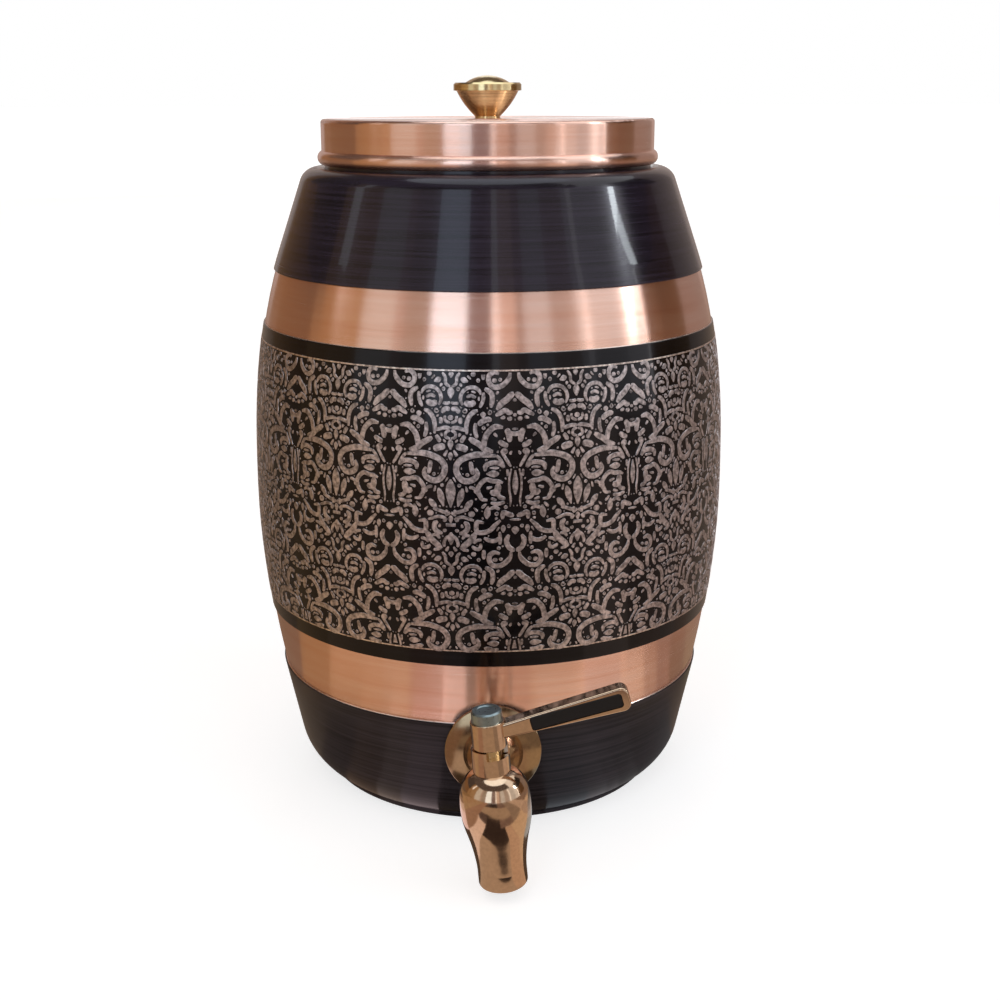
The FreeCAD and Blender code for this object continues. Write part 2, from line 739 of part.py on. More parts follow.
pieces = {
    "drum_shell": drum_shell(),
    "etched_sleeve": etched_sleeve(),
    "shoulder_shell": shoulder_shell(),
    "neck_ring": neck_ring(),
    "base_shell": base_shell(),
    "foot_ring": foot_ring(),
    "tank_floor": tank_floor(),
    "lid_cap": lid_cap(),
    "lid_knob": lid_knob(),
    "knob_screw": knob_screw(),
    "knob_washer": knob_washer(),
    "wall_gasket": wall_gasket(),
    "inner_washer": inner_washer(),
    "tap_body": place_tap(tap_body()),
    "tap_flange": place_tap(tap_flange()),
    "plate_washer": place_tap(plate_washer()),
    "shank_nut": place_tap(shank_nut()),
    "port_seal": place_tap(port_seal()),
    "valve_plug": place_tap(valve_plug()),
    "stem_rings": place_tap(stem_rings()),
    "thrust_washer": place_tap(thrust_washer()),
    "lever": place_tap(lever()),
    "lever_grip": place_tap(lever_grip()),
    "hub_cap": place_tap(hub_cap()),
    "lever_screw": place_tap(lever_screw()),
    "stop_pin": place_tap(stop_pin()),
}

os.makedirs("parts", exist_ok=True)
for name, shape in pieces.items():
    shape.exportStep("parts/" + name + ".step")
    print(name, "solids", len(shape.Solids), "volume", round(shape.Volume, 1), "valid", shape.isValid())
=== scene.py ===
# %% [markdown]
# # Dressing a copper water dispenser
# The solids of this barrel, its lid and its tap come ready made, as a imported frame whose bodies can
# move. This lesson gives them what a solid doesn't have: brushed copper, black lacquer, an etched
# scroll band, plating, brass and rubber, and the light that makes metal look like metal. The frame
# could be rebuilt in Blender as well, but then nothing would promise that the lid still fits its
# neck, so every piece here is placed by measuring the frame.

# %% Load the frame and measure it
import bpy
import math
import numpy as np
from mathutils import Matrix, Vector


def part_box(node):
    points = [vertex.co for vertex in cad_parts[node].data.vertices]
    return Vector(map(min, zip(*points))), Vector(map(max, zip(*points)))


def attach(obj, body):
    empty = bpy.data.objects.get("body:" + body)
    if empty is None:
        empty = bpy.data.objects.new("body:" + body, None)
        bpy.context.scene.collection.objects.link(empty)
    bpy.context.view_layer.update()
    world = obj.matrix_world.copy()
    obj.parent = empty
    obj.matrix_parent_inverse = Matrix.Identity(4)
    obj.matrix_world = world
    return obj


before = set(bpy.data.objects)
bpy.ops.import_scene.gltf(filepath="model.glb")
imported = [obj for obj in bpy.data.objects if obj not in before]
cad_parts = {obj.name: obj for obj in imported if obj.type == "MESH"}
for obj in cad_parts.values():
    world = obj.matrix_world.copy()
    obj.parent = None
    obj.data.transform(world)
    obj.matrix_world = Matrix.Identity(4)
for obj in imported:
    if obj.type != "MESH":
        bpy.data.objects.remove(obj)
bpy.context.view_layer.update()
MM = 0.001

# %% [markdown]
# ## Camera
# The camera stands close, about 64 cm from the barrel's axis and level with the top of its lid, and
# looks down by a little over 15 degrees. A close camera makes the bands curve strongly. The
# distance, height and lens were found by matching the curves of eight edges that run round the
# barrel, which is safer than moving the camera about by eye, because only one distance gives all
# the curves at once.

# %% Place the camera
DISTANCE = 0.641
EYE_HEIGHT = 0.2963
LENS_PIXELS = 1478.0
PICTURE_PIXELS = 1000
MIDDLE_PIXEL = 488.9
SENSOR = 36.0
look_down = math.radians(15.46)
step_aside = math.radians(-0.8)
lean = math.radians(-0.2)

camera_data = bpy.data.cameras.new("camera")
camera = bpy.data.objects.new("camera", camera_data)
bpy.context.scene.collection.objects.link(camera)
camera_data.sensor_width = SENSOR
camera_data.lens = LENS_PIXELS * SENSOR / PICTURE_PIXELS
camera_data.shift_x = (PICTURE_PIXELS / 2 - MIDDLE_PIXEL) / PICTURE_PIXELS
place = (DISTANCE * math.sin(step_aside), -DISTANCE * math.cos(step_aside), EYE_HEIGHT)
stand = Matrix.Translation(place)
aim = Matrix.Rotation(step_aside, 4, "Z") @ Matrix.Rotation(math.pi / 2 - look_down, 4, "X")
camera.matrix_world = stand @ aim @ Matrix.Rotation(lean, 4, "Z")
bpy.context.scene.camera = camera
bpy.context.scene.view_settings.view_transform = "Standard"
print("camera stands at", [round(c, 3) for c in camera.matrix_world.translation])

# %% [markdown]
# ## Writing materials by hand
# A finish is a small graph of nodes. A few helpers keep each one short enough to read: `new_finish`
# gives an empty material with its main shader, and `add` puts in a node, sets its values and joins
# its inputs, all in one line. `shades` turns a number into a colour, and `level` into a range.

# %% Helpers for finishes
def new_finish(name, **settings):
    """A material with a Principled shader, and the shader's plain values set on its own sockets."""
    material = bpy.data.materials.new(name)
    material.use_nodes = True
    shader = material.node_tree.nodes["Principled BSDF"]
    for socket, value in settings.items():
        shader.inputs[socket.replace("_", " ")].default_value = value
    return material, shader


def add(material, kind, values=None, joins=None, **attributes):
    """A node of a kind, with its attributes, input values and incoming links."""
    tree = material.node_tree
    new = tree.nodes.new("ShaderNode" + kind)
    for name, value in attributes.items():
        setattr(new, name, value)
    for socket, value in (values or {}).items():
        new.inputs[socket].default_value = value
    for socket, source in (joins or {}).items():
        tree.links.new(source, new.inputs[socket])
    return new


def join(material, source, target):
    """A link from an output to an input."""
    material.node_tree.links.new(source, target)


def shades(material, factor, *stops):
    """A colour ramp: stops are (place, colour)."""
    ramp = add(material, "ValToRGB", joins={"Fac": factor})
    while len(ramp.color_ramp.elements) < len(stops):
        ramp.color_ramp.elements.new(0.5)
    for element, (place, colour) in zip(ramp.color_ramp.elements, stops):
        element.position = place
        element.color = (*colour, 1)
    return ramp


def level(material, source, low, high):
    """Stretches a 0 to 1 number to run from low to high."""
    mapped = add(material, "MapRange", {"To Min": low, "To Max": high}, {"Value": source})
    return mapped.outputs["Result"]


print("helpers ready")

# %% [markdown]
# ## Brushing that runs round the barrel
# The barrel was brushed while it turned, so its scratches are thin rings: a fraction of a
# millimetre high and many centimetres long. A noise that is stretched along the ring copies that.
# The stretch needs a direction that goes round, so the position is split: the two flat coordinates
# are divided by the radius, which leaves only the direction, and the height is kept. The same map
# serves every turned piece.

# %% The turned coordinate
def turned_map(material, round_scale, height_scale):
    """A texture position that is stretched round the Z axis: slow round it, quick along it."""
    place = add(material, "TexCoord").outputs["Object"]
    split = add(material, "SeparateXYZ", joins={"Vector": place})
    flat = add(material, "CombineXYZ", joins={"X": split.outputs["X"], "Y": split.outputs["Y"]})
    direction = add(material, "VectorMath", joins={0: flat.outputs["Vector"]}, operation="NORMALIZE")
    ring = add(material, "SeparateXYZ", joins={"Vector": direction.outputs["Vector"]})
    height = add(material, "Math", {1: height_scale}, {0: split.outputs["Z"]}, operation="MULTIPLY")
    round_x = add(material, "Math", {1: round_scale}, {0: ring.outputs["X"]}, operation="MULTIPLY")
    round_y = add(material, "Math", {1: round_scale}, {0: ring.outputs["Y"]}, operation="MULTIPLY")
    return add(material, "CombineXYZ", joins={"X": round_x.outputs[0], "Y": round_y.outputs[0],
                                              "Z": height.outputs[0]}).outputs["Vector"]


def noise(material, vector, scale, detail):
    """Cloudy noise from 0 to 1."""
    texture = add(material, "TexNoise", {"Scale": scale, "Detail": detail, "Roughness": 0.55},
                  {"Vector": vector})
    return texture.outputs["Fac"]


def bump(material, shader, source, depth, strength):
    """Relief of a depth in metres."""
    relief = add(material, "Bump", {"Distance": depth, "Strength": strength}, {"Height": source})
    join(material, relief.outputs["Normal"], shader.inputs["Normal"])


print("turned map ready")

# %% [markdown]
# ## Brushed copper
# Copper reflects 95, 64 and 54 percent of red, green and blue light. Fine rings spread a
# reflection along the barrel's height but leave it sharp round the barrel, which is why lamps show
# on it as upright stripes with crisp sides. The shader's anisotropy does exactly that with a
# tangent that runs round Z, turned by a quarter, and a light bump adds the single scratches.

# %% Brushed copper
QUARTER_TURN = 0.25


def copper(name, roughness=0.24, streak=1.0):
    """Brushed copper: fine scratches on broad, faint bands of tone."""
    material, shader = new_finish(name, Metallic=1.0, Anisotropic=1.0,
                                  Anisotropic_Rotation=QUARTER_TURN)
    round_tangent = add(material, "Tangent", direction_type="RADIAL", axis="Z")
    join(material, round_tangent.outputs["Tangent"], shader.inputs["Tangent"])
    fine = noise(material, turned_map(material, 1.4, 2600.0), scale=1.0, detail=4.0)
    broad = noise(material, turned_map(material, 1.1, 260.0), scale=1.0, detail=3.0)
    mixed = add(material, "Math", {1: 0.5}, {0: fine}, operation="MULTIPLY")
    both = add(material, "Math", joins={0: mixed.outputs[0], 1: broad}, operation="ADD")
    tone = shades(material, both.outputs[0], (0.35, (0.86, 0.50, 0.38)), (0.62, (0.93, 0.59, 0.475)),
                  (0.95, (0.97, 0.67, 0.57)))
    join(material, tone.outputs["Color"], shader.inputs["Base Color"])
    join(material, level(material, fine, roughness - 0.07, roughness + 0.07), shader.inputs["Roughness"])
    bump(material, shader, fine, depth=0.000012 * streak, strength=0.6)
    return material


brushed_copper = copper("brushed_copper")
plain_copper = copper("plain_copper", 0.4, 1.5)
print("copper finishes:", brushed_copper.name, plain_copper.name)

# %% [markdown]
# ## Black lacquer
# Shoulder and base are brushed copper under a dark, nearly opaque lacquer. The lacquer is smooth
# enough to show the lamps as soft stripes, and the brushing under it shows as faint rings. The base
# has a duller copy of the lacquer of its own, with less shine and coat, so its reflections come out
# dimmer than the shoulder's. The black ground of the etched band is a third, blacker one.

# %% Black lacquer
def lacquer(name, tint, roughness, shine, coat):
    """Shine is the share of light that the lacquer's body sends back, coat that of its skin."""
    material, shader = new_finish(name, Metallic=0.0, Anisotropic=0.7, Anisotropic_Rotation=QUARTER_TURN,
                                  Specular_IOR_Level=shine, Specular_Tint=(0.94, 0.88, 0.98, 1),
                                  Coat_Weight=coat, Coat_Roughness=0.05)
    round_tangent = add(material, "Tangent", direction_type="RADIAL", axis="Z")
    join(material, round_tangent.outputs["Tangent"], shader.inputs["Tangent"])
    rings = noise(material, turned_map(material, 1.2, 900.0), scale=1.0, detail=4.0)
    tone = shades(material, rings, (0.36, tuple(0.4 * c for c in tint)), (0.64, tuple(1.3 * c for c in tint)))
    join(material, tone.outputs["Color"], shader.inputs["Base Color"])
    join(material, level(material, rings, roughness - 0.08, roughness + 0.08), shader.inputs["Roughness"])
    bump(material, shader, rings, depth=0.00002, strength=0.5)
    return material


black_lacquer = lacquer("black_lacquer", (0.018, 0.0135, 0.025), 0.24, 0.28, 0.36)
# a duller copy of the lacquer for the base, which dims its reflections
dull_base_lacquer = lacquer("dull_base_lacquer", (0.030, 0.024, 0.027), 0.34, 0.2, 0.06)
etched_black = lacquer("etched_black", (0.002, 0.002, 0.0025), 0.2, 0.25, 0.19)
print("lacquers:", black_lacquer.name, dull_base_lacquer.name, etched_black.name)

# %% [markdown]
# ## Plating, brass, steel, rubber and plastics
# The tap is cast brass with a rose-coloured mirror plating, its flange is a darker brass, its tint
# darkened as painted shade for the shadow round the tap's neck, the knob is bare polished brass and
# the fixings are steel. Castings are never perfectly flat, so a slow, shallow bump bends their
# reflections a little. A second, quicker noise changes the roughness, as handling does.

# %% Cast, turned and moulded finishes
def cast(name, tint, roughness, ripple=0.00006):
    """A polished casting: slow ripple, and a slightly uneven gloss."""
    material, shader = new_finish(name, Metallic=1.0)
    place = add(material, "TexCoord").outputs["Object"]
    slow = noise(material, place, scale=60.0, detail=2.0)
    quick = noise(material, place, scale=700.0, detail=4.0)
    tone = shades(material, quick, (0.3, tuple(0.86 * c for c in tint)), (0.7, tint))
    join(material, tone.outputs["Color"], shader.inputs["Base Color"])
    join(material, level(material, quick, roughness * 0.7, roughness * 1.3), shader.inputs["Roughness"])
    bump(material, shader, slow, depth=ripple, strength=0.5)
    return material


def turned_metal(name, tint, roughness):
    """Metal from the lathe: fine rings round Z."""
    material, shader = new_finish(name, Metallic=1.0)
    rings = noise(material, turned_map(material, 0.6, 4200.0), scale=1.0, detail=3.0)
    tone = shades(material, rings, (0.3, tuple(0.8 * c for c in tint)), (0.7, tint))
    join(material, tone.outputs["Color"], shader.inputs["Base Color"])
    join(material, level(material, rings, roughness * 0.7, roughness * 1.4), shader.inputs["Roughness"])
    bump(material, shader, rings, depth=0.000008, strength=0.5)
    return material


def moulded(name, tint, roughness, grain):
    """Rubber or plastic from a mould: matt, with a fine grain."""
    material, shader = new_finish(name, Metallic=0.0, Specular_IOR_Level=0.4)
    place = add(material, "TexCoord").outputs["Object"]
    speckle = noise(material, place, scale=2400.0, detail=2.0)
    tone = shades(material, speckle, (0.3, tuple(0.8 * c for c in tint)), (0.7, tint))
    join(material, tone.outputs["Color"], shader.inputs["Base Color"])
    join(material, level(material, speckle, roughness - 0.06, roughness + 0.06), shader.inputs["Roughness"])
    bump(material, shader, speckle, depth=grain, strength=0.5)
    return material


rose_plating = cast("rose_plating", (0.63, 0.45, 0.31), 0.11, 0.0002)
# painted shade: the flange's brass tint is darkened to stand for the shadow round the tap's neck
shaded_flange_brass = cast("shaded_flange_brass", (0.34, 0.24, 0.145), 0.16, 0.0002)
polished_brass = turned_metal("polished_brass", (0.79, 0.62, 0.34), 0.16)
plain_brass = turned_metal("plain_brass", (0.78, 0.60, 0.32), 0.32)
steel = turned_metal("steel_fixing", (0.62, 0.62, 0.62), 0.3)
grey_cap = cast("grey_cap", (0.32, 0.40, 0.42), 0.3)
black_grip = moulded("black_grip", (0.008, 0.008, 0.009), 0.38, 0.00002)
black_rubber = moulded("black_rubber", (0.012, 0.012, 0.012), 0.6, 0.00004)
white_seal = moulded("white_seal", (0.72, 0.71, 0.68), 0.5, 0.00002)
print("finishes:", len(bpy.data.materials))

# %% [markdown]
# ## Which piece wears which finish
# The frame's nodes keep their shapes. Giving one a finish only fills its first material slot.

# %% Dress the nodes
wears = {
    brushed_copper: ("drum_shell", "lid_cap"),
    black_lacquer: ("shoulder_shell", "neck_ring"),
    dull_base_lacquer: ("base_shell", "foot_ring"),
    plain_copper: ("tank_floor",),
    etched_black: ("etched_sleeve",),
    polished_brass: ("lid_knob",),
    rose_plating: ("tap_body", "lever"),
    shaded_flange_brass: ("tap_flange",),
    plain_brass: ("shank_nut", "valve_plug"),
    steel: ("knob_screw", "knob_washer", "plate_washer", "lever_screw", "stop_pin"),
    black_rubber: ("wall_gasket", "inner_washer", "stem_rings"),
    white_seal: ("port_seal", "thrust_washer"),
    black_grip: ("lever_grip",),
    grey_cap: ("hub_cap",),
}
for material, names in wears.items():
    for name in names:
        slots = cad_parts[name].data.materials
        slots.clear()
        slots.append(material)
undressed = set(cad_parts) - {name for names in wears.values() for name in names}
print("nodes without a finish:", sorted(undressed))

# %% [markdown]
# ## The etched band, drawn flat
# The sheet round the belly carries an old damask pattern: a vase under a domed cup, great scrolls
# that spring from its rim, and fans of petals between them. It was etched, so the bright metal
# stands a tenth of a millimetre above the black ground. A picture of it would need an image file,
# and a bump would have no edge, so the pattern is real relief: every line is a short ribbon.
# Only half of one repeat is drawn, in millimetres, `x` round the barrel and `y` up, and its mirror
# image makes the rest. A stroke is a list of stations: x, y and half the line's width.

# %% Strokes: sweep, curl, leaf and bead
REPEATS = 13
HALF = 24.66
RISE = 69.0
LINE = 1.5
TIP = 0.25
TAPER = 3.5
STEPS_A_TURN = 14


def through(points, steps=4):
    """A smooth line through the points."""
    padded = [points[0]] + list(points) + [points[-1]]
    found = []
    for a, b, c, d in zip(padded, padded[1:], padded[2:], padded[3:]):
        for k in range(steps):
            t = k / steps
            found.append([0.5 * (2 * b[j] + (c[j] - a[j]) * t
                                 + (2 * a[j] - 5 * b[j] + 4 * c[j] - d[j]) * t * t
                                 + (3 * b[j] - a[j] - 3 * c[j] + d[j]) * t ** 3) for j in (0, 1)])
    return found + [list(points[-1])]


def sweep(points, width=LINE, ends=(0.35, 0.35)):
    """A line that narrows to a share of its width at its two ends."""
    path = through(points)
    last = len(path) - 1
    stations = []
    for i, (x, y) in enumerate(path):
        share = min(1, ends[0] + TAPER * i / last, ends[1] + TAPER * (last - i) / last)
        stations.append((x, y, width / 2 * share))
    return stations


def curl(x, y, radius, turns, start, sense, width=LINE):
    """A scroll that winds in to a round eye."""
    count = max(8, int(STEPS_A_TURN * turns))
    stations = []
    for i in range(count + 1):
        s = i / count
        wound = (radius - width / 2) * (1 - s * (1 - 0.5 * width / radius))
        turn = math.radians(start) + sense * 2 * math.pi * turns * s
        half = width / 2 * (0.55 + 0.5 * s)
        stations.append((x + wound * math.cos(turn), y + wound * math.sin(turn), half))
    return stations


def leaf(x, y, lean, length, width, count=8):
    """A solid petal from (x, y), widest past its middle."""
    turn = math.radians(lean)
    stations = []
    for i in range(count + 1):
        s = i / count
        wide = width / 2 * math.sin(math.pi * s ** 1.25) ** 0.75 if 0 < i < count else TIP / 2
        stations.append((x + length * s * math.cos(turn), y + length * s * math.sin(turn), wide))
    return stations


def bead(x, y, radius, count=5):
    """A round dot."""
    turns = [math.pi * i / count for i in range(count + 1)]
    return [(x, y - radius * math.cos(turn), max(radius * math.sin(turn), TIP / 2)) for turn in turns]


print("one repeat is", 2 * HALF, "by", RISE, "mm")

# %% [markdown]
# ## One repeat
# The strokes are listed from the dome down to the foot curls. What stands on a line of symmetry is
# listed apart, so that its mirror image isn't laid over it. The last list isn't drawn: it marks the
# counters, the places that the engraver left black, which give the pattern its dark rhythm. Every
# line is then widened a little, as the resist spreads under the brush.

# %% Draw the repeat
SPREAD = 0.24


def widened(strokes):
    """The same strokes, each wider by the spread on both sides."""
    return [[(x, y, half + SPREAD) for x, y, half in stroke] for stroke in strokes]


mirrored = [
    # the dome over the bowl
    sweep([(0.2, 67.6), (1.6, 66.8), (3.0, 65.4), (5.2, 63.8), (6.9, 61.6)], 2.0),
    sweep([(0.9, 60.6), (2.3, 60.4), (3.6, 61.3), (5.4, 60.5), (7.4, 59.4)], 1.5),
    bead(2.0, 58.2, 0.8),
    sweep([(4.6, 54.9), (7.6, 55.2), (9.6, 53.8), (11.2, 51.6), (11.9, 48.6), (12.0, 46.8)], 1.8),
    # the flower under it
    sweep([(3.4, 54.4), (2.5, 52.6), (2.0, 49.4)], 1.9),
    sweep([(2.7, 47.9), (4.3, 48.5), (6.3, 49.8)], 1.6),
    bead(4.1, 45.9, 1.15),
    # the vase's rim and stem
    sweep([(5.4, 46.2), (3.8, 43.4), (1.7, 40.0)], 0.9),
    sweep([(1.5, 39.2), (2.3, 35.4), (2.3, 31.0), (1.8, 27.6), (2.0, 24.6)], 0.5),
    sweep([(3.0, 39.0), (2.9, 36.4)], 0.7),
    # the upper curl
    sweep([(7.2, 44.4), (5.6, 42.6), (4.2, 39.7)], 0.9),
    sweep([(4.4, 39.6), (5.7, 41.2), (8.6, 41.5), (11.2, 40.5), (11.4, 38.4)], 1.5),
    leaf(11.0, 37.3, 180, 4.8, 2.3),
    # the lower curl
    sweep([(4.8, 33.7), (6.4, 34.4), (8.6, 34.5), (10.9, 35.1), (12.9, 33.8), (14.5, 31.0), (13.6, 29.0),
           (12.6, 27.4), (10.6, 27.1)], 1.4),
    sweep([(6.5, 33.6), (6.7, 31.2), (7.6, 29.9), (9.6, 30.4)], 2.2),
    sweep([(6.9, 30.0), (5.9, 28.2), (3.8, 27.7)], 1.3),
    bead(14.5, 30.6, 1.15),
    sweep([(15.2, 31.2), (16.4, 31.9), (17.6, 31.9)], 0.9),
    # the great ring
    sweep([(7.4, 44.2), (10.4, 44.4), (13.8, 44.7), (17.0, 44.1), (20.4, 42.7), (22.3, 40.4), (22.2, 37.4),
           (20.3, 34.9), (17.9, 34.4), (15.4, 35.5), (14.3, 37.4), (15.2, 39.4)], 2.0),
    sweep([(16.0, 37.0), (16.6, 39.2), (17.0, 42.0)], 1.4),
    sweep([(8.4, 45.8), (11.4, 46.6), (13.4, 48.4), (15.6, 49.7), (17.6, 50.9)], 1.9),
    sweep([(18.2, 46.2), (20.0, 47.2), (22.6, 47.6)], 2.2),
    sweep([(19.0, 51.8), (19.9, 50.6), (20.6, 49.2)], 1.3),
    # the long leaves beside the bowl
    sweep([(14.2, 61.3), (16.2, 60.4), (17.7, 58.6), (18.5, 55.8), (18.4, 52.4)], 1.4),
    sweep([(15.1, 56.6), (15.2, 53.4), (14.4, 50.9)], 1.2),
    sweep([(8.9, 57.8), (10.8, 57.9), (12.8, 57.0), (14.0, 55.8)], 1.7),
    leaf(12.2, 58.5, 90, 2.3, 1.8),
    sweep([(11.6, 69.4), (9.2, 67.9), (8.6, 65.6), (9.2, 62.4)], 1.6),
    # the round flower
    sweep([(13.0, 67.2), (13.8, 68.8), (15.6, 69.8), (18.2, 69.6), (20.2, 68.0), (20.9, 65.4),
           (20.0, 63.2)], 1.1),
    sweep([(12.0, 68.0), (12.2, 65.0), (13.5, 62.4)], 1.1),
    sweep([(15.0, 66.0), (16.8, 66.8), (18.6, 66.2)], 0.9),
    sweep([(15.1, 64.5), (17.2, 63.6), (19.4, 64.3)], 1.9),
    # the small things at the crossing of the frames
    sweep([(24.4, 61.6), (22.6, 61.8), (21.2, 60.3)], 1.5),
    sweep([(21.6, 64.0), (23.2, 63.8), (24.5, 64.2)], 0.8),
    sweep([(20.9, 58.6), (20.9, 56.2)], 1.2),
    sweep([(22.4, 59.2), (22.6, 57.4), (24.5, 56.5)], 0.8),
    sweep([(18.9, 53.7), (20.6, 54.3), (22.6, 54.7), (24.6, 54.5)], 1.1),
    sweep([(24.5, 53.6), (22.9, 52.9), (22.8, 51.2), (24.5, 50.6)], 0.8),
    # the fan
    leaf(21.9, 24.4, 105, 7.4, 2.3),
    leaf(19.5, 23.2, 130, 5.0, 2.0),
    sweep([(17.8, 23.4), (20.2, 22.8), (22.4, 22.1), (23.4, 23.0)], 1.0),
    sweep([(22.6, 20.9), (24.5, 22.1)], 0.9),
    sweep([(15.8, 19.0), (17.8, 19.7), (19.8, 20.3), (21.8, 20.0), (23.3, 19.2)], 0.9),
    bead(16.7, 21.6, 1.15),
    leaf(10.4, 24.8, -84, 5.0, 2.2),
    sweep([(4.0, 26.4), (6.6, 25.6), (9.4, 26.0)], 1.1),
    sweep([(6.0, 23.4), (7.8, 24.3), (9.8, 23.6)], 1.0),
    # the heart on the stem's foot
    sweep([(0.6, 20.8), (2.6, 21.5), (4.6, 22.2), (4.9, 19.6)], 1.5),
    leaf(4.7, 14.3, 92, 3.0, 1.5),
    sweep([(2.4, 13.4), (3.4, 11.2), (2.7, 8.8), (1.3, 7.5), (0.2, 7.2)], 1.6),
    sweep([(5.7, 19.2), (7.6, 17.4), (9.6, 15.3), (12.2, 14.3), (14.6, 14.6), (14.9, 17.0), (14.4, 18.5),
           (12.0, 18.2)], 1.5),
    sweep([(15.0, 14.4), (16.2, 12.3), (17.4, 10.8), (19.2, 9.2), (21.0, 7.6)], 2.0),
    sweep([(5.7, 12.6), (7.2, 11.3), (9.4, 11.0), (12.0, 12.2)], 1.3),
    sweep([(6.0, 14.6), (5.8, 12.0), (5.9, 9.6)], 1.0),
    sweep([(19.6, 18.4), (18.4, 17.4), (18.3, 15.6), (19.5, 14.2), (21.4, 13.8)], 1.6),
    bead(22.3, 18.9, 0.6),
    bead(22.3, 14.9, 0.65),
    sweep([(24.0, 12.9), (22.6, 11.6), (21.9, 9.6), (22.2, 8.4)], 0.9),
    sweep([(17.4, 12.9), (19.2, 13.0), (20.3, 11.6)], 0.9),
    # the foot curls
    sweep([(1.6, 6.6), (1.9, 4.6), (3.2, 2.8), (5.4, 1.2), (8.2, 1.0), (9.9, 2.8), (9.8, 5.2), (8.0, 6.4),
           (6.0, 5.8)], 1.6),
    bead(7.8, 3.4, 0.8),
    sweep([(12.1, 7.4), (12.1, 3.7)], 1.2),
    sweep([(13.2, 10.0), (13.6, 7.9), (15.2, 7.8), (16.6, 8.8)], 1.1),
    sweep([(12.9, 11.5), (14.8, 11.1), (15.9, 10.0)], 0.9),
    bead(16.0, 5.7, 0.85),
    leaf(18.0, 2.9, 22, 3.0, 1.8),
    sweep([(21.2, 6.2), (22.4, 4.4), (22.6, 2.2), (24.4, 1.0)], 0.9),
    sweep([(17.8, 7.0), (20.4, 7.4)], 0.8),
]
centred = [
    bead(0, 59.6, 0.6),
    sweep([(-3.2, 53.3), (0, 52.4), (3.2, 53.3)], 1.4, (1, 1)),
    leaf(0, 38.6, -90, 9.4, 1.9),
    leaf(0, 13.6, 90, 3.1, 2.6),
    leaf(HALF, 65.7, 90, 4.2, 2.4),
    bead(HALF, 58.5, 0.95),
    leaf(HALF, 46.4, 90, 3.9, 1.9),
    leaf(HALF, 42.4, 90, 3.0, 1.6),
    leaf(HALF, 24.0, 90, 11.0, 3.5),
    leaf(HALF, 17.9, 90, 3.0, 1.5),
    sweep([(HALF - 1.9, 17.1), (HALF + 1.9, 17.1)], 0.9, (1, 1)),
    leaf(HALF, 9.2, 90, 5.0, 2.3),
    leaf(HALF, 4.4, 90, 2.3, 1.7),
]
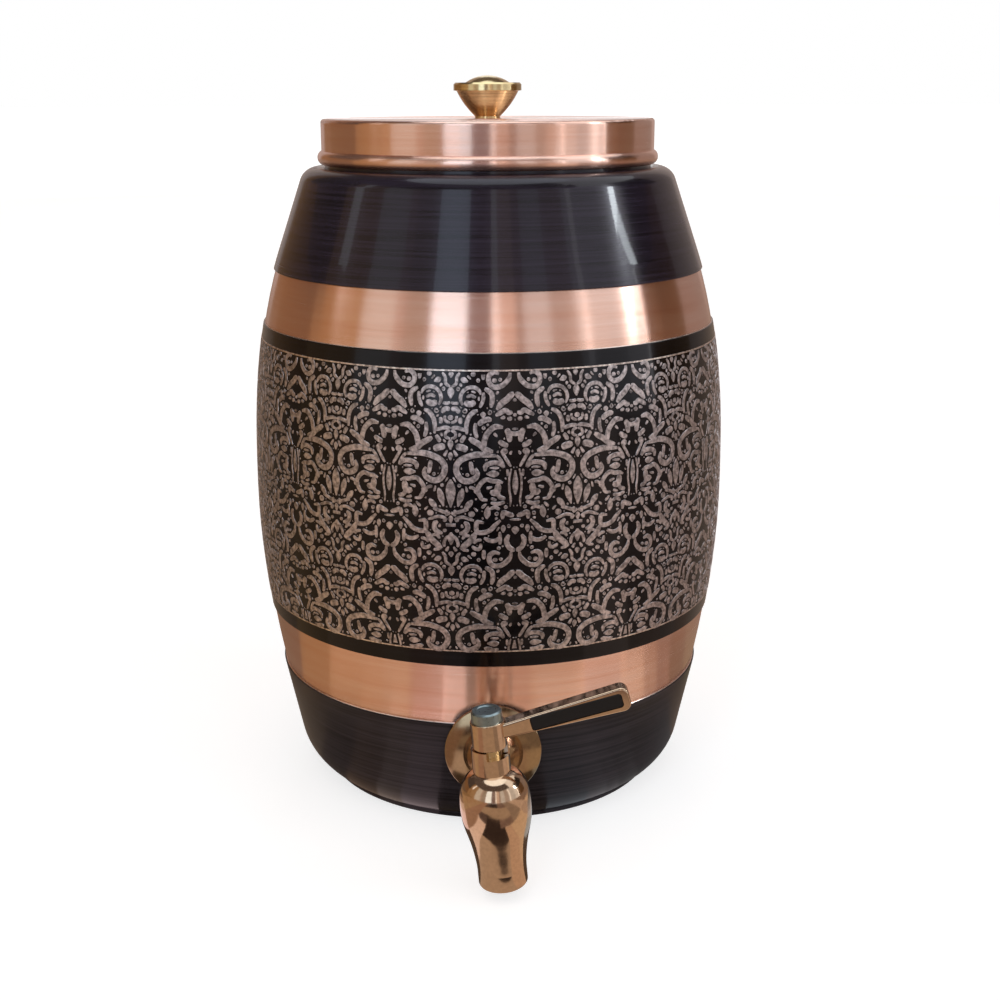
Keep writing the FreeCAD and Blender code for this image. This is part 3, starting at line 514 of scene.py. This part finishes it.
counters = [
    sweep([(-6.3, 66.2), (-3.4, 68.6), (0, 69.6), (3.4, 68.6), (6.3, 66.2)], 1.6),
    sweep([(-3.2, 63.2), (0, 63.4), (3.2, 63.2)], 1.2), bead(0, 62.0, 1.1),
    sweep([(-7.2, 57.7), (-3, 56.6), (0, 56.1), (3, 56.6), (7.2, 57.7)], 1.5),
    sweep([(6.1, 53.3), (5.2, 51.3)], 1.5), sweep([(8.4, 51.0), (8.8, 49.2), (7.3, 46.8)], 2.2),
    sweep([(0, 50.0), (0, 43.4)], 1.8), sweep([(-2.6, 47.2), (2.6, 47.2)], 1.0),
    sweep([(-3.2, 43.4), (3.2, 43.4)], 1.0), sweep([(0, 43.4), (0, 40.6)], 1.8),
    sweep([(4.6, 37.8), (5.4, 35.9)], 1.5), sweep([(3.9, 34.4), (3.9, 29.2)], 1.5),
    sweep([(9.6, 33.1), (11.4, 33.0), (12.4, 31.2), (12.0, 29.6), (10.2, 28.4)], 0.9),
    sweep([(12.4, 42.4), (14.2, 42.2), (12.8, 39.6), (12.4, 36.6)], 1.5),
    sweep([(19.0, 41.2), (19.2, 37.8)], 1.4), sweep([(0, 27.2), (0, 26.2)], 1.9),
    sweep([(-2.4, 23.4), (2.4, 23.4)], 1.6), sweep([(16.8, 30.0), (16.6, 28.2)], 1.7),
    sweep([(11.9, 26.6), (14.4, 25.8), (14.0, 24.2)], 1.8), sweep([(22.6, 33.2), (22.6, 25.0)], 0.9),
    sweep([(18.4, 28.6), (19.6, 25.6)], 0.8), sweep([(HALF, 41.6), (HALF, 35.8)], 1.2),
    sweep([(22.0, 46.0), (20.6, 44.8)], 1.0),
    sweep([(-1.4, 17.8), (1.4, 17.8)], 1.3), sweep([(3.1, 19.4), (4.8, 17.6)], 1.4),
    sweep([(2.2, 15.4), (3.8, 13.4)], 1.1), bead(0, 10.8, 2.0), sweep([(0, 5.8), (0, 1.4)], 1.6),
    sweep([(9.0, 22.0), (9.1, 19.9), (10.8, 17.9), (12.9, 16.7)], 1.2),
    sweep([(13.6, 22.4), (13.8, 20.6), (15.2, 20.0)], 1.0), bead(16.4, 17.4, 0.9), bead(22.1, 17.0, 0.9),
    sweep([(7.2, 13.6), (9.6, 13.6)], 1.1), sweep([(7.8, 9.0), (10.2, 8.8), (12.2, 9.2)], 1.7),
    bead(10.2, 7.4, 0.9), sweep([(4.1, 7.9), (4.1, 4.6)], 1.9), sweep([(13.7, 6.6), (13.7, 4.8)], 0.8),
    sweep([(17.2, 6.2), (20.2, 6.2)], 0.9), sweep([(15.4, 2.7), (17.6, 2.7)], 1.1),
    sweep([(11.8, 2.3), (14.2, 1.4)], 1.1), sweep([(HALF - 0.9, 15.0), (HALF + 0.9, 15.0)], 1.0),
    bead(HALF, 7.3, 0.7), sweep([(HALF, 3.7), (HALF, 1.7)], 1.0),
    sweep([(10.7, 67.6), (10.7, 63.4)], 0.9), bead(12.1, 61.8, 0.9), bead(15.0, 58.2, 0.8),
    sweep([(16.4, 57.4), (16.9, 55.2), (16.6, 53.2)], 1.1), sweep([(13.4, 54.6), (13.6, 51.2)], 0.9),
    sweep([(22.4, 67.0), (22.6, 65.6)], 1.4), bead(HALF, 52.0, 0.9),
    sweep([(14.4, 46.6), (17.2, 48.6), (18.2, 50.2)], 0.9),
]
mirrored, centred = widened(mirrored), widened(centred)
print("strokes drawn:", len(mirrored), "mirrored,", len(centred), "centred")

# %% [markdown]
# ## Fill the ground
# Between the drawn strokes an engraver leaves no wide bare place. A grid of points over the half
# repeat holds the distance to the nearest stroke. The point that is furthest from all of them gets
# a curl, or a dash that runs the way the gap runs, and so on until no place is left. `AIR` is the
# black line that stays between two strokes, a place nearer to a stroke than `SMALLEST` stays black,
# and `LONGEST` is how far a dash may reach to either side.

# %% Fill what is left
AIR = 0.38
SMALLEST = 0.58
LONGEST = 2.6
GRID = 0.23
MARGIN = 4
DIRECTIONS = 12
CURL_ROOM = 0.75
DASH_ROOM = AIR + 0.25


def with_copies(stroke):
    """A stroke with its mirror image, and both in the neighbouring repeats."""
    points = np.array(stroke)[:, :2]
    for flip in (1, -1):
        for across in (-1, 0, 1):
            for up in (-1, 0, 1):
                yield points * (flip, 1) + (2 * HALF * across, RISE * up)


def keep_off(stroke):
    """Lowers each grid point's distance to what this stroke and its copies leave."""
    half_widths = np.array(stroke)[:, 2]
    for points in with_copies(stroke):
        if points[:, 0].max() < -MARGIN or points[:, 0].min() > HALF + MARGIN:
            continue
        if points[:, 1].max() < -MARGIN or points[:, 1].min() > RISE + MARGIN:
            continue
        for (x, y), half in zip(points, half_widths):
            np.minimum(room, np.hypot(grid_x - x, grid_y - y) - half, out=room)


def room_at(x, y):
    """The distance to the nearest stroke, at any flat point near the half repeat."""
    x = abs(x) if x <= HALF else 2 * HALF - x
    return room[round(y / GRID) % room.shape[0], min(round(x / GRID), room.shape[1] - 1)]


def dash(x, y, half):
    """A short stroke through a point, laid the way the gap runs."""
    best = []
    for step in range(DIRECTIONS):
        turn = math.pi * step / DIRECTIONS
        reach = [0.0, 0.0]
        for end, sense in enumerate((1, -1)):
            while reach[end] < LONGEST and room_at(
                    x + sense * (reach[end] + GRID) * math.cos(turn),
                    y + sense * (reach[end] + GRID) * math.sin(turn)) > DASH_ROOM:
                reach[end] += GRID
        best.append((sum(reach), turn, reach))
    turn, (ahead, behind) = max(best)[1:]
    across, up = math.cos(turn), math.sin(turn)
    return [(x + t * across, y + t * up, half * w) for t, w in
            ((-behind, 0.5), (-behind / 2, 0.9), (0, 1), (ahead / 2, 0.9), (ahead, 0.5))]


grid_x, grid_y = np.meshgrid(np.arange(0, HALF + 0.01, GRID), np.arange(0, RISE, GRID))
room = np.full(grid_x.shape, RISE)
for stroke in mirrored + centred + counters:
    keep_off(stroke)
fillers = []
while room.max() > SMALLEST:
    row, column = np.unravel_index(room.argmax(), room.shape)
    x, y, space = column * GRID, row * GRID, room[row, column] - AIR
    if space > CURL_ROOM:
        added = curl(x, y, radius=space + 0.25, turns=1.0, start=77 * len(fillers),
                     sense=1 if len(fillers) % 2 else -1, width=0.9)
    else:
        added = dash(x, y, half=max(space, 0.3))
    fillers.append(added)
    keep_off(added)
    room[row, column] = 0
print("fillers:", len(fillers), "stations:", sum(len(s) for s in mirrored + centred + fillers))

# %% [markdown]
# ## Wrap the strokes round the belly
# The belly isn't a cylinder, so the radius has to be known at every height. It is read off the
# sheet's own mesh. A flat point then goes to a bearing, its `x` over the radius, and a height, and
# a ribbon gets four points at each station: two on the ground and two on top, set in by a bevel.
# Strokes stop where the plain black borders start. The first vase stands a little to the right of
# the tap, at `FIRST_BEARING`, and `BAND_START` says where in the repeat the lower border cuts it.

# %% Measure the sheet
MOSTLY_OUTWARD = 0.6


def outline_of(node):
    """Radius by height of a turned node's outward side, in millimetres."""
    rows = {}
    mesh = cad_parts[node].data
    for face in mesh.polygons:
        outward = face.normal.x * face.center.x + face.normal.y * face.center.y
        if outward > MOSTLY_OUTWARD * math.hypot(face.center.x, face.center.y):
            for i in face.vertices:
                x, y, z = mesh.vertices[i].co / MM
                rows[round(z, 2)] = math.hypot(x, y)
    heights = sorted(rows)
    return np.array(heights), np.array([rows[z] for z in heights])


sheet_rows, sheet_radii = outline_of("etched_sleeve")
BAND_FOOT, BAND_HEAD = 84.8, 196.0
FIRST_BEARING = math.radians(4.85)
BAND_START = -35.2
NOMINAL = HALF * REPEATS / math.pi
print("the sheet runs from", sheet_rows[0], "to", sheet_rows[-1], "mm, widest", round(sheet_radii.max(), 2))


def on_sheet(x, y, rise):
    """A flat point, wrapped on the sheet and lifted off it, in metres."""
    height = BAND_FOOT + y - BAND_START
    radius = np.interp(height, sheet_rows, sheet_radii) + rise
    bearing = FIRST_BEARING + x / NOMINAL
    return np.stack([radius * np.sin(bearing), -radius * np.cos(bearing), height], -1) * MM


# %% [markdown]
# ## Bare metal
# What the etch laid bare is duller and more uneven than brushed copper: its tone wanders within a
# few millimetres and its gloss from one grain to the next. Two noises of different scale give that,
# and they need no direction, because nothing was brushed here.

# %% The etched finish
def etched_metal(name, tint, roughness):
    """Metal laid bare by the etch: slightly uneven from place to place."""
    material, shader = new_finish(name, Metallic=1.0)
    place = add(material, "TexCoord").outputs["Object"]
    patches = noise(material, place, scale=700.0, detail=4.0)
    grain = noise(material, place, scale=3000.0, detail=2.0)
    tone = shades(material, patches, (0.35, tuple(0.45 * c for c in tint)), (0.5, tint),
                  (0.66, tuple(min(1, 1.5 * c) for c in tint)))
    join(material, tone.outputs["Color"], shader.inputs["Base Color"])
    join(material, level(material, grain, roughness - 0.1, roughness + 0.1), shader.inputs["Roughness"])
    bump(material, shader, grain, depth=0.00002, strength=0.7)
    return material


etched_silver = etched_metal("etched_silver", (0.50, 0.45, 0.46), 0.42)
print("etched finish:", etched_silver.name)

# %% [markdown]
# ## Lay the ribbons
# The strokes are laid by four loops, one inside the other: the repeats round the belly, a repeat
# and its mirror image, the strokes of one, and the copies above and below. All the ribbons are one
# mesh, which is far quicker to make than some thousands of objects. Their feet are sunk a little
# into the sheet, so that no gap shows under them.

# %% Lay the ribbons
RELIEF = 0.10
BEVEL = 0.16
LEAST_TOP = 0.3
SUNK = 0.08
SEAM = 0.9
BORDER_GAP = 0.5


def mesh_object(name, points, faces, material):
    """A mesh with one material, put into the scene."""
    mesh = bpy.data.meshes.new(name)
    mesh.from_pydata(points, [], faces)
    mesh.materials.append(material)
    thing = bpy.data.objects.new(name, mesh)
    bpy.context.scene.collection.objects.link(thing)
    return thing


def ribbon(stroke):
    """Four points for each station of a flat stroke: ground, top, top, ground."""
    points, half = stroke[:, :2], stroke[:, 2:]
    ahead = np.gradient(points, axis=0)
    ahead /= np.linalg.norm(ahead, axis=1, keepdims=True) + 1e-9
    across = np.stack([-ahead[:, 1], ahead[:, 0]], 1)
    top = np.maximum(half - BEVEL, half * LEAST_TOP)
    rims = [(points + across * half, -SUNK), (points + across * top, RELIEF),
            (points - across * top, RELIEF), (points - across * half, -SUNK)]
    return np.stack([on_sheet(p[:, 0], p[:, 1], rise) for p, rise in rims], 1)


def off_seam(x, half):
    """True where a line this wide stays clear of the sheet's open seam at the back."""
    turn = (x / NOMINAL + FIRST_BEARING) % (2 * math.pi)
    return np.abs(turn - math.pi) * NOMINAL > SEAM / 2 + half


def inside_band(stroke):
    """The runs of a stroke that lie between the plain borders and clear of the seam."""
    low = BAND_START + BORDER_GAP
    high = BAND_START + BAND_HEAD - BAND_FOOT - BORDER_GAP
    kept = (stroke[:, 1] > low) & (stroke[:, 1] < high) & off_seam(stroke[:, 0], stroke[:, 2])
    breaks = np.flatnonzero(np.diff(kept.astype(int))) + 1
    for run in np.split(np.arange(len(stroke)), breaks):
        if len(run) > 1 and kept[run[0]]:
            yield stroke[run]


points, faces, count = [], [], 0
for repeat in range(REPEATS):
    for flip, strokes in ((1, mirrored + fillers + centred), (-1, mirrored + fillers)):
        for drawn in strokes:
            flat = np.array(drawn) * (flip, 1, 1) + (2 * HALF * repeat, 0, 0)
            if flip < 0:
                flat = flat[::-1]
            for up in (-RISE, 0, RISE):
                for run in inside_band(flat + (0, up, 0)):
                    laid = ribbon(run)
                    points.append(laid.reshape(-1, 3))
                    for i in range(len(run) - 1):
                        a = count + 4 * i
                        faces += [(a + k + 1, a + k, a + k + 4, a + k + 5) for k in range(3)]
                    faces += [(count, count + 1, count + 2, count + 3)]
                    count += 4 * len(run)
                    faces += [(count - 1, count - 2, count - 3, count - 4)]
scrollwork = mesh_object("scrollwork", np.concatenate(points).tolist(), faces, etched_silver)
scrollwork.data.validate()
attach(scrollwork, "vessel")
print("ribbons laid:", len(points), "faces:", len(faces))

# %% [markdown]
# ## The lines that close the pattern
# A thin bright line runs round the sheet above and below the pattern. Each is a section of four
# points, carried once round. It stops short of the seam, as the sheet does.

# %% Border lines
LINE_WIDTH = 0.7
LINE_BEVEL = 0.1


def ring(name, section, material, slot, gap=0.0):
    """A section of (radius, height) points carried round Z, with a gap at the back if asked."""
    count = 361
    opening = gap / 2 / section[0][0]
    turns = np.linspace(-math.pi + opening, math.pi - opening, count)
    laid = np.stack([np.stack([r * np.sin(turns), -r * np.cos(turns), np.full(count, z)], -1)
                     for r, z in section], 1) * MM
    faces = [(4 * i + k, 4 * i + 4 + k, 4 * i + 5 + k, 4 * i + 1 + k)
             for i in range(count - 1) for k in range(len(section) - 1)]
    thing = mesh_object(name, laid.reshape(-1, 3).tolist(), faces, material)
    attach(thing, "vessel")


def line_section(height, width):
    """A flat line on the sheet, bevelled at both edges, from its upper edge to its lower one."""
    half = width / 2
    levels = ((half, -SUNK), (half - LINE_BEVEL, RELIEF), (LINE_BEVEL - half, RELIEF), (-half, -SUNK))
    return [(float(np.interp(height + up, sheet_rows, sheet_radii)) + rise, height + up)
            for up, rise in levels]


etched_line = etched_metal("etched_line", (0.75, 0.62, 0.57), 0.35)
for name, height in (("line_top", BAND_HEAD), ("line_foot", BAND_FOOT)):
    ring(name, line_section(height, LINE_WIDTH), etched_line, "etched_black", SEAM)
print("border lines at", BAND_FOOT, "and", BAND_HEAD, "mm")

# %% [markdown]
# ## Cut edges
# Where a sheet ends, its lacquer ends too: the shears leave a rim of bare copper. It catches the
# light as a thin bright line over the etched sheet and along the top of the base, and its tint is
# paler than copper's, a painted highlight that makes the line read near white. Each is a ring
# with a small section that caps the edge, worked out from the pieces on both sides of it.

# %% Cap the edges
CAP_SKIN = 0.05
CAP_RISE = 0.25
CAP_CORNER = 0.45
CAP_FALL = 0.75


def edge_section(node):
    """A thin cap over the top edge of a node that is lapped on the drum."""
    height = float(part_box(node)[1][2]) / MM
    outer = float(np.interp(height, *outline_of(node))) + CAP_SKIN
    inner = float(np.interp(height, *outline_of("drum_shell"))) - CAP_SKIN
    return [(inner, height + CAP_RISE), (outer - CAP_CORNER, height + CAP_RISE),
            (outer, height - CAP_CORNER), (outer, height - CAP_FALL)]


# painted highlight: the cut copper's tint is paler than copper, so the edge line reads near white
cut_copper_highlight = cast("cut_copper_highlight", (0.98, 0.80, 0.72), 0.3)
ring("sleeve_edge", edge_section("etched_sleeve"), cut_copper_highlight, "brushed_copper", SEAM)
ring("base_edge", edge_section("base_shell"), cut_copper_highlight, "brushed_copper")
print("edges capped: 2")

# %% [markdown]
# ## The room that the metal sees
# Metal has no look of its own: it shows the room. The barrel stood between tall soft lamps with
# dark, warm gaps between them, and the stripes on the copper say where each lamp was. So the room
# is built as sheets on a wide circle, each from one bearing to another, seen from the barrel: 0 is
# straight out of the tap and the right-hand side is positive. They glow and the camera doesn't see
# them. Each band of the barrel leans its own way, so each shows the room at its own height: the
# copper bands see it below head height and the black shoulder from there to the ceiling. That is
# why the narrow lamp on the right has a foot, which leans, and a head, and why the shoulder has
# dark panels of its own. What only a mirror should see stands a little nearer and lights nothing.

# %% Sheets round the table
ROOM = 4.0
ROOM_HEIGHT = 8.0
NEARER = 0.1
SHEET_STEP = 3
SKY_HOLE = 0.04
SKY_RISE = 0.5
BRIGHT_LAMP = 10


def glow(name, colour, strength):
    """A glowing surface. Light is sampled on purpose only from bright lamps: brushed metal would
    otherwise meet them by chance, in a spray of white specks."""
    material = bpy.data.materials.new(name)
    material.use_nodes = True
    tree = material.node_tree
    tree.nodes.clear()
    light = add(material, "Emission", {"Color": (*colour, 1), "Strength": strength})
    join(material, light.outputs[0], add(material, "OutputMaterial").inputs["Surface"])
    material.cycles.emission_sampling = "FRONT_BACK" if strength > BRIGHT_LAMP else "NONE"
    return material


def glowing_band(name, start, end, foot, head, colour, strength, lights=True, step=SHEET_STEP):
    """A band between two circles round the barrel, from one bearing to another.

    Foot and head are (radius, height, shift). A shift in degrees makes the band lean. The band is
    never in the picture: it lights and is reflected, or is only reflected."""
    count = max(2, int(abs(end - start) / step) + 1)
    points = []
    for i in range(count):
        for radius, height, shift in (foot, head):
            bearing = math.radians(start + (end - start) * i / (count - 1) + shift)
            points.append((radius * math.sin(bearing), -radius * math.cos(bearing), height))
    faces = [(2 * i, 2 * i + 1, 2 * i + 3, 2 * i + 2) for i in range(count - 1)]
    thing = mesh_object(name, points, faces, glow(name, colour, strength))
    thing.visible_camera = False
    thing.visible_shadow = False
    thing.visible_diffuse = lights


warm = (1.0, 0.56, 0.28)
dusk = (1.0, 0.80, 0.72)
day = (0.97, 0.98, 1.0)
lamp = (0.88, 0.96, 1.0)
# from bearing, to bearing, colour, strength
sheets = [
    (-150, -100, warm, 0.26), (-100, -86, (1.0, 0.62, 0.32), 0.42), (-86, -68, (1.0, 0.66, 0.37), 0.47),
    (-68, -49, (1.0, 0.98, 0.93), 0.78), (-49, -44, dusk, 0.60), (-44, -30, (1.0, 0.86, 0.76), 0.46),
    (-30, -11.5, (0.74, 0.87, 1.0), 2.0), (-11.5, 1.0, (1.0, 0.76, 0.76), 0.31), (1.0, 4.5, day, 1.5),
    (4.5, 13, (1.0, 0.80, 0.70), 0.86), (13, 18, dusk, 0.50), (18, 31, day, 0.80),
    (31, 45, (1.0, 0.86, 0.80), 0.55), (45, 48.5, day, 0.85), (48.5, 51.5, day, 1.7),
    (51.5, 70, day, 0.80), (70, 83, day, 1.02), (84.6, 96, warm, 0.2), (96, 116, warm, 0.14),
    (116, 150, dusk, 0.3), (150, 172, dusk, 0.45), (172, 186, day, 1.2), (186, 210, dusk, 0.45),
]
for i, (start, end, colour, strength) in enumerate(sheets):
    glowing_band("room_%02d" % i, start, end, (ROOM, 0.0, 0.0), (ROOM, ROOM_HEIGHT, 0.0), colour, strength)
# name, from bearing, to bearing, colour, strength, height of foot and head, shift of the foot
reflected = [
    ("lamp_low", 83, 84.6, day, 2.9, 0.0, 1.6, 0.0),
    ("lamp_foot", 79.2, 82.6, lamp, 15.0, 1.6, 1.9, 5.6),
    ("lamp_head", 78.2, 82.8, lamp, 32.0, 1.9, 2.5, 0.0),
    ("lamp_left", -86, -80, day, 1.5, 1.6, 3.2, -4.0),
    ("dark_right", 88, 125, dusk, 0.03, 1.4, 3.2, 0.0),
    ("dark_left", -140, -96, dusk, 0.10, 1.1, 3.2, 0.0),
    ("dark_above", -180, 62, dusk, 0.14, 3.2, ROOM_HEIGHT, 0.0),
    ("pale_above", 62, 140, day, 1.3, 3.2, ROOM_HEIGHT, 0.0),
    ("dusk_above", 140, 180, dusk, 0.14, 3.2, ROOM_HEIGHT, 0.0),
]
for name, start, end, colour, strength, low, high, shift in reflected:
    glowing_band(name, start, end, (ROOM - NEARER, low, shift), (ROOM - NEARER, high, 0.0), colour,
                 strength, lights=False)
glowing_band("skylight", -180, 180, (SKY_HOLE, ROOM_HEIGHT + SKY_RISE, 0.0), (ROOM, ROOM_HEIGHT, 0.0),
             (0.88, 0.95, 1.0), 1.8, lights=False)
print("sheets round the table:", len(sheets) + len(reflected) + 1)

# %% [markdown]
# ## Floor and world
# The floor has to look white and still hold the barrel's soft shadow. It is a pale diffuse surface
# that gets the rest of its whiteness from a glow that only the camera, mirrors and glass see. The
# world behind it is white in the same way and dim to everything else.

# %% Floor and world
def seen_directly(material):
    """1 for rays that show the background: from the camera, a mirror or glass."""
    path = add(material, "LightPath")
    shown = add(material, "Math", joins={0: path.outputs["Is Camera Ray"], 1: path.outputs["Is Glossy Ray"]},
                operation="MAXIMUM")
    return add(material, "Math", joins={0: shown.outputs[0], 1: path.outputs["Is Transmission Ray"]},
               operation="MAXIMUM").outputs[0]


reach = 30.0
pale = bpy.data.materials.new("pale_floor")
pale.use_nodes = True
pale.node_tree.nodes.clear()
matt = add(pale, "BsdfDiffuse", {"Color": (0.62, 0.62, 0.62, 1)})
whiten = add(pale, "Math", {1: 0.73}, {0: seen_directly(pale)}, operation="MULTIPLY")
shine = add(pale, "Emission", {"Color": (0.985, 0.993, 1, 1)}, {"Strength": whiten.outputs[0]})
together = add(pale, "AddShader", joins={0: matt.outputs[0], 1: shine.outputs[0]})
join(pale, together.outputs[0], add(pale, "OutputMaterial").inputs["Surface"])
corners = [(-reach, -reach, 0), (reach, -reach, 0), (reach, reach, 0), (-reach, reach, 0)]
floor = mesh_object("floor", corners, [(0, 1, 2, 3)], pale)

world = bpy.data.worlds.new("world")
bpy.context.scene.world = world
world.use_nodes = True
world.node_tree.nodes.clear()
lit = add(world, "Background", {"Color": (1.0, 0.97, 0.94, 1), "Strength": 0.7})
shown = add(world, "Background", {"Color": (1, 1, 1, 1), "Strength": 1.0})
choose = add(world, "MixShader", joins={0: seen_directly(world), 1: lit.outputs[0], 2: shown.outputs[0]})
join(world, choose.outputs[0], add(world, "OutputWorld").inputs["Surface"])
print("floor reaches", reach, "m")

# %% [markdown]
# ## The table
# Copper in front of a white floor would look pale to its foot, but the lower half of this barrel
# shows a warm brown table. Its top is a set of flat glowing sectors just over the floor, which are
# reflected but not seen, and their tones are painted light and shade: bright where the lamps fall,
# dark where shade falls. The reflections sort themselves by distance: the black base shows the
# ring next to the barrel, the lower copper band the next one, and the tap's hub and the etched
# band what lies further out. Straight in front the sectors are dark, a painted shadow of the tap
# and the camera, and the spout shows that as a dark streak that narrows downwards.

# %% The table round the barrel
TABLE_HEIGHT = 0.0004
TABLE_START = 0.01
TABLE_STEP = 4
near, middle, far = 0.132, 0.196, ROOM
spout_edge, dark_edge, pale_edge, camera_edge = 0.1632, 0.225, 0.34, 1.0
# painted light and shade: the bright sectors are painted pools of lamp light, the dark ones painted shade
# zone: inner radius, outer radius, and its sectors as from bearing, to bearing, colour
table = {
    "foot": (TABLE_START, near, [
        (-180, -75, (0.30, 0.22, 0.16)), (-75, -56, (0.16, 0.12, 0.10)), (-56, -41, (0.40, 0.26, 0.18)),
        # at the foot, -31 to -18 is a painted pool of lamp light and -18 to 18 a painted shadow under the tap
        (-41, -31, (0.80, 0.60, 0.50)), (-31, -18, (1.10, 0.85, 0.85)), (-18, 18, (0.10, 0.07, 0.05)),
        (18, 33, (0.48, 0.52, 0.56)), (33, 41, (0.60, 0.58, 0.60)), (41, 47, (0.44, 0.42, 0.43)),
        (47, 57, (0.30, 0.29, 0.29)), (57, 90, (0.18, 0.17, 0.17)), (90, 180, (0.30, 0.22, 0.17))]),
    "band": (near, middle, [
        (-180, -135, (0.30, 0.22, 0.17)), (-135, -100, (0.24, 0.16, 0.11)), (-100, -75, (0.37, 0.23, 0.12)),
        (-75, -45, (0.52, 0.35, 0.20)), (-45, -33, (0.53, 0.37, 0.23)), (-33, -19, (0.44, 0.28, 0.20)),
        (-19, -10, (1.00, 0.79, 0.70)), (8, 15, (0.68, 0.47, 0.34)), (15, 38, (0.76, 0.56, 0.39)),
        (38, 56, (0.58, 0.43, 0.34)), (56, 70, (0.74, 0.55, 0.39)), (70, 79, (0.52, 0.37, 0.27)),
        (79, 90, (0.36, 0.24, 0.18)), (90, 108, (0.24, 0.17, 0.12)), (108, 180, (0.30, 0.23, 0.15))]),
    "room": (middle, far, [
        (-180, -135, (0.30, 0.22, 0.17)), (-135, -100, (0.22, 0.15, 0.10)), (-100, -75, (0.36, 0.23, 0.12)),
        (-75, -45, (0.50, 0.33, 0.20)), (-45, -33, (0.52, 0.36, 0.23)), (-33, -19, (0.45, 0.28, 0.20)),
        (20, 38, (0.36, 0.27, 0.21)), (38, 60, (0.66, 0.50, 0.40)), (60, 80, (0.32, 0.22, 0.17)),
        (80, 92, (0.30, 0.22, 0.18)), (92, 105, (0.30, 0.20, 0.15)), (105, 180, (0.30, 0.22, 0.17))]),
    # painted shadow of the tap and the camera: the darkest sectors from here down, straight in front of the
    # barrel
    "tap_near": (near, spout_edge, [(-10, 8, (0.57, 0.43, 0.33))]),
    "tap_far": (spout_edge, middle, [(-10, 8, (0.05, 0.035, 0.03))]),
    "tap_shadow": (middle, dark_edge, [
        (-19, -10, (0.13, 0.09, 0.08)), (-10, 4, (0.05, 0.035, 0.03)), (4, 20, (0.25, 0.17, 0.14))]),
    "tap_pale": (dark_edge, pale_edge, [(-19, 20, (0.50, 0.37, 0.27))]),
    "camera_left": (pale_edge, far, [(-19, -10, (0.13, 0.09, 0.08))]),
    "camera_shadow": (pale_edge, camera_edge, [(-10, 4, (0.05, 0.035, 0.03))]),
    "camera_right": (pale_edge, far, [(4, 20, (0.25, 0.17, 0.14))]),
    "camera_end": (camera_edge, far, [(-10, 4, (0.35, 0.34, 0.38))]),
}
for zone, (inner, outer, parts) in table.items():
    for i, (start, end, colour) in enumerate(parts):
        glowing_band("table_%s_%02d" % (zone, i), start, end, (inner, TABLE_HEIGHT, 0.0),
                     (outer, TABLE_HEIGHT, 0.0), colour, 1.0, lights=False, step=TABLE_STEP)
print("sectors on the table:", sum(len(parts) for inner, outer, parts in table.values()))
